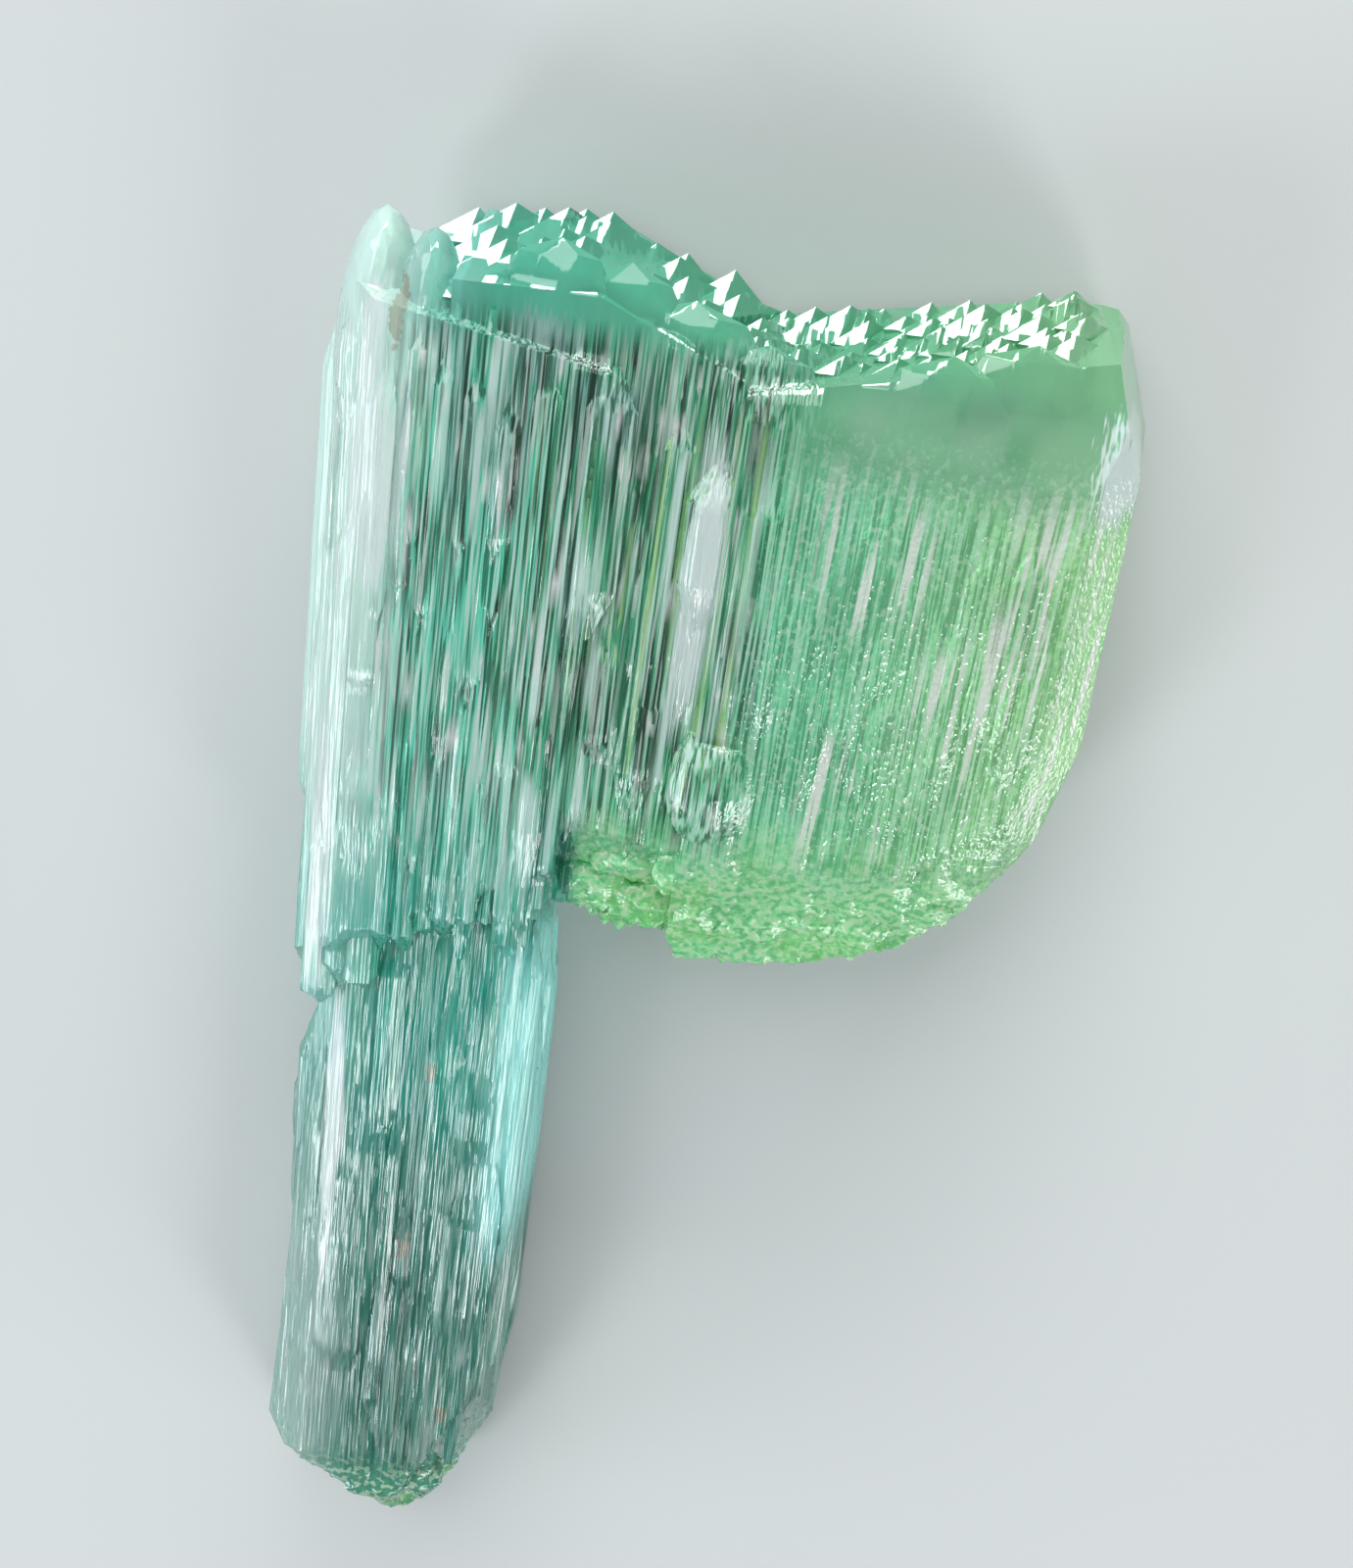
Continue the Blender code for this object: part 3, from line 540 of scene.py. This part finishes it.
def coat(tree, under, over, amount, *shares):
    """Lays a colour or a number over what is under it, as strongly as the amount times all the shares."""
    strength = shares[0]
    for share in shares[1:]:
        links = {0: strength, 1: share}
        strength = add_node(tree, "ShaderNodeMath", {"operation": "MULTIPLY"}, links).outputs[0]
    settings = {"operation": "MULTIPLY", 1: amount}
    strength = add_node(tree, "ShaderNodeMath", settings, {0: strength}).outputs[0]
    is_colour = isinstance(over, str)
    kind, first, result = ("RGBA", 6, 2) if is_colour else ("FLOAT", 2, 0)
    mix = add_node(tree, "ShaderNodeMix", {"data_type": kind}, {0: strength})
    for socket, value in ((first, under), (first + 1, over)):
        if isinstance(value, bpy.types.NodeSocket):
            tree.links.new(value, mix.inputs[socket])
        else:
            mix.inputs[socket].default_value = colour(value) if is_colour else value
    return mix.outputs[result]


def find_shares(tree, in_mm, zone_names):
    """The fine patterns, and by name what can limit a layer: patterns' high and low lines, and zones."""
    noises = {}
    shares = {}
    for name, (size, lean, high, low) in FINE_PATTERNS.items():
        noises[name] = fine_noise(tree, in_mm, size, lean)
        shares["high_" + name], shares["low_" + name] = above_and_below(tree, noises[name], high, low)
    for name in zone_names:
        shares[name] = add_node(tree, "ShaderNodeAttribute", {"attribute_name": name}).outputs["Fac"]
    for name, pattern in RAGGED_ZONES:
        shares["ragged_" + name] = ragged(tree, shares[name], noises[pattern])
    return noises, shares


def spodumene(zone_names):
    """Spodumene as it grew: glassy on its peaks, silky along its lines and frosted where it is etched."""
    material = bpy.data.materials.new("green_spodumene")
    material.use_nodes = True
    tree = material.node_tree
    shader = tree.nodes["Principled BSDF"]
    output = tree.nodes["Material Output"]
    shader.inputs["IOR"].default_value = SPODUMENE_IOR
    shader.inputs["Transmission Weight"].default_value = TRANSMISSION

    coordinates = add_node(tree, "ShaderNodeTexCoord")
    scale = {"operation": "SCALE", "Scale": 1.0 / MM}
    in_mm = add_node(tree, "ShaderNodeVectorMath", scale, {0: coordinates.outputs["Object"]}).outputs[0]
    noises, shares = find_shares(tree, in_mm, zone_names)

    body = SHAFT_TINT
    for code, amount, *names in BODY_LAYERS:
        body = coat(tree, body, code, amount, *[shares[name] for name in names])
    tree.links.new(body, shader.inputs["Base Color"])

    roughness = GLASSY_ROUGHNESS
    for value, name in ROUGHNESS_LAYERS:
        roughness = coat(tree, roughness, value, 1.0, shares[name])
    tree.links.new(roughness, shader.inputs["Roughness"])

    # The finest lines and grain, 0.1 to 0.4 mm across, are only in the finish
    height = FLAT_HEIGHT
    for pattern, name in HEIGHT_LAYERS:
        height = coat(tree, height, noises[pattern], 1.0, shares[name])
    depth = {"Strength": FINE_RELIEF_STRENGTH, "Distance": FINE_RELIEF_DEPTH * MM}
    relief = add_node(tree, "ShaderNodeBump", depth, {"Height": height})
    tree.links.new(relief.outputs["Normal"], shader.inputs["Normal"])

    inside = {"Color": colour(STONE_TINT), "Density": STONE_DENSITY}
    absorption = add_node(tree, "ShaderNodeVolumeAbsorption", inside)
    tree.links.new(absorption.outputs["Volume"], output.inputs["Volume"])
    return material


def lay_floor():
    bpy.ops.mesh.primitive_plane_add(size=FLOOR_SIZE, location=(0, 0, -FLOOR_DROP * MM))
    floor = bpy.context.object
    floor.name = "floor"
    material = bpy.data.materials.new("pale_card")
    material.use_nodes = True
    shader = material.node_tree.nodes["Principled BSDF"]
    shader.inputs["Base Color"].default_value = colour(FLOOR_COLOUR)
    shader.inputs["Roughness"].default_value = 1.0
    shader.inputs["Specular IOR Level"].default_value = FLOOR_SHEEN
    floor.data.materials.append(material)


def softbox(name, direction, distance, width, height, radiance, tint):
    """A soft light that looks at the crystal from a direction. Its radiance is what a mirror shows of it."""
    towards = Vector(direction).normalized()
    data = bpy.data.lights.new(name, "AREA")
    data.shape = "RECTANGLE"
    data.size = width
    data.size_y = height
    data.energy = radiance * math.pi * width * height
    data.color = colour(tint)[:3]
    light = bpy.data.objects.new(name, data)
    bpy.context.scene.collection.objects.link(light)
    light.location = towards * distance
    light.rotation_euler = towards.to_track_quat("Z", "Y").to_euler()


def light_studio():
    """Plain soft light: a pale room, a big box overhead and low boxes that the peaks and bevels mirror."""
    bpy.context.scene.view_settings.view_transform = "Standard"
    world = bpy.data.worlds.new("studio")
    bpy.context.scene.world = world
    world.use_nodes = True
    background = world.node_tree.nodes["Background"]
    background.inputs["Color"].default_value = colour(ROOM_COLOUR)
    background.inputs["Strength"].default_value = ROOM_STRENGTH
    for name, values in SOFTBOXES.items():
        softbox(name, *values)


def place_camera():
    """The photograph's view: a little off the front face, rolled so that the crystal leans."""
    tilt = math.radians(CAMERA_TILT)
    roll = math.radians(CAMERA_ROLL)
    back = Vector((0.0, math.sin(tilt), math.cos(tilt)))
    level_up = Vector((0.0, math.cos(tilt), -math.sin(tilt)))
    level_right = Vector((1.0, 0.0, 0.0))
    up = math.cos(roll) * level_up - math.sin(roll) * level_right
    right = math.cos(roll) * level_right + math.sin(roll) * level_up
    data = bpy.data.cameras.new("camera")
    data.lens = CAMERA_LENS
    data.clip_start = MM
    camera = bpy.data.objects.new("camera", data)
    bpy.context.scene.collection.objects.link(camera)
    matrix = Matrix((right, up, back)).transposed().to_4x4()
    matrix.translation = Vector(CAMERA_TARGET) * MM + back * CAMERA_DISTANCE * MM
    camera.matrix_world = matrix
    bpy.context.scene.camera = camera


def make_crystal():
    crystal = start_from_solid("spodumene_crystal")
    cut_for_lines(crystal)
    zone_names = grow_lines(crystal)
    bpy.ops.object.shade_smooth_by_angle(angle=math.radians(SMOOTH_ANGLE))
    crystal.data.materials.clear()
    crystal.data.materials.append(spodumene(zone_names))
    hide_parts("kunzite_crystal")
    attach(crystal, "root")


place_camera()
make_crystal()
lay_floor()
light_studio()
